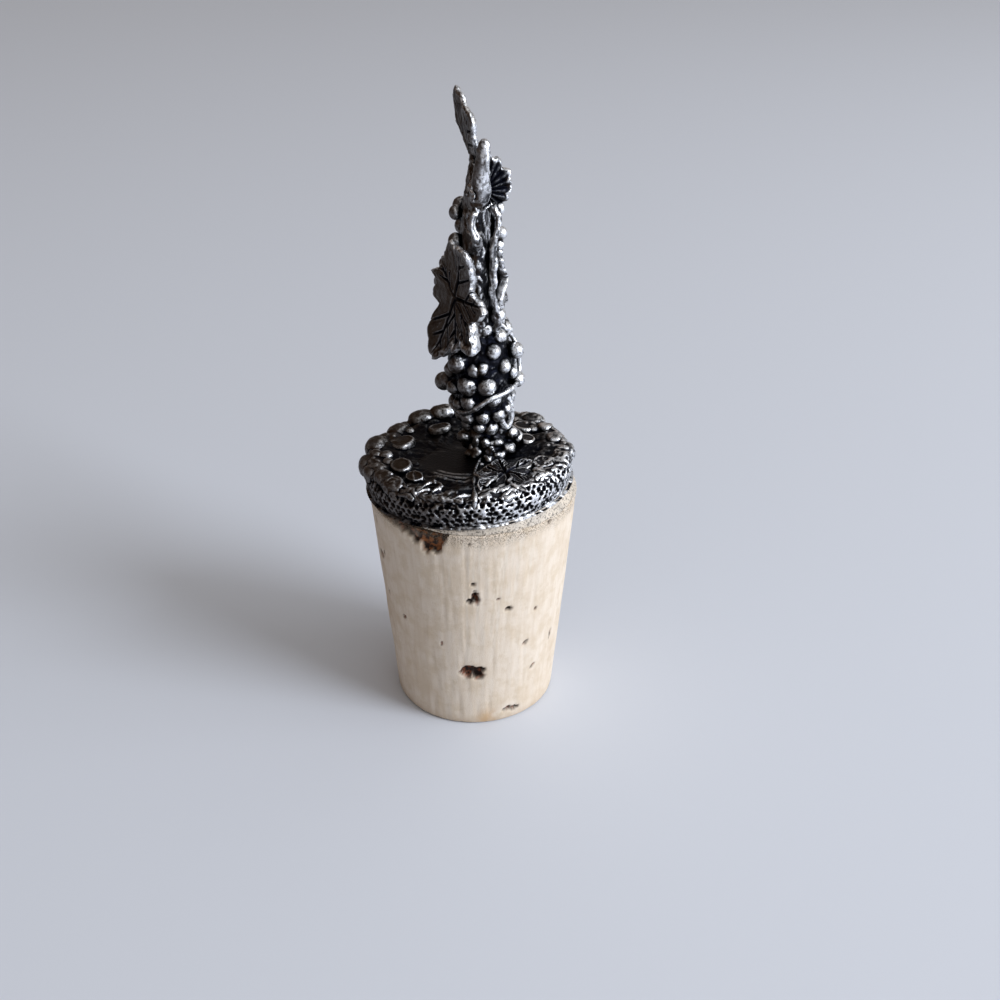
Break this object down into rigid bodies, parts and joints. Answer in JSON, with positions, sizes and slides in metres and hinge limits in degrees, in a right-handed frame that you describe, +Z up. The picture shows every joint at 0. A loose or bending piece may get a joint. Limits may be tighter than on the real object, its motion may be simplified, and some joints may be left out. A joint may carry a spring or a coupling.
{
  "type": "wine bottle stopper",
  "caption": "Tapered cork stopper with a cast pewter top: a lumpy round cap with a pitted wall under a bunch of grapes, vine leaves and a stem stump.",
  "frame": {"origin": "centre of the cork's small end, on the plane that the stopper stands on", "axes": "+Z up the cork's axis towards the metal top; X across the thickness of the ornament, whose two faces look along -X and +X; Y along its breadth, with the stem stump towards -Y"},
  "size_m": [0.0251, 0.0241, 0.0716],
  "materials": {
    "cork": "natural cork, ground to a taper, dry and unvarnished, with brown pits",
    "adhesive": "set clear adhesive, frosted grey-green and speckled",
    "pewter": "antiqued lead-free pewter, near black in the hollows and worn bright on the high spots"
  },
  "bodies": {
    "root": {"cork": "cork", "glue_bead": "adhesive", "cast_top": "pewter"}
  },
  "joints": []
}
